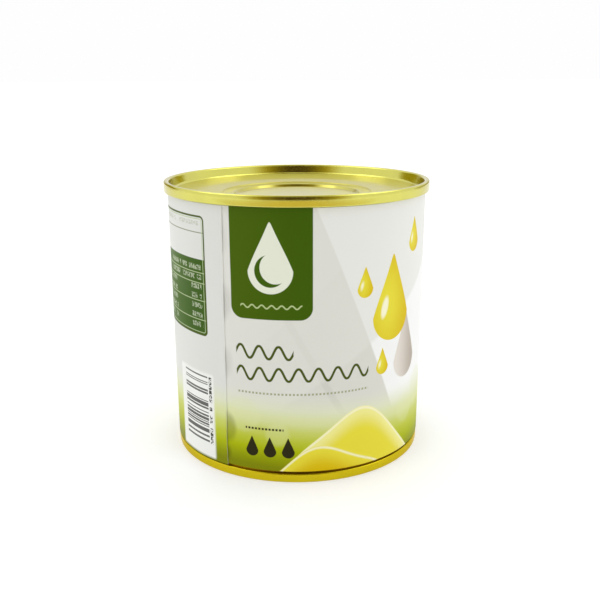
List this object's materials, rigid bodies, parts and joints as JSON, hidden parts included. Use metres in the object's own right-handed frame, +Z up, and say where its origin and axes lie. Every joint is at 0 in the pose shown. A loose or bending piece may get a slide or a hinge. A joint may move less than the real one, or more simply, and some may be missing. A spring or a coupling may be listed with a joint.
{
  "type": "condensed milk can",
  "caption": "Shut round food can for condensed milk, with gold double-seamed ends, a necked-in base and a wrapped paper label.",
  "frame": {"origin": "centre of the base, on the plane that the can stands on", "axes": "+Z up along the can's axis; the label's front faces -Y"},
  "size_m": [0.0754, 0.0754, 0.0777],
  "materials": {
    "gold_end": "gold lacquered tinplate, satin with a clear gloss",
    "body_tinplate": "gold lacquered tinplate, in the shade of the neck",
    "label_paper": "coated label paper, printed, soft sheen"
  },
  "bodies": {
    "root": {"can_body": "body_tinplate", "lid_end": "gold_end", "bottom_end": "gold_end", "paper_label": "label_paper"}
  },
  "joints": []
}
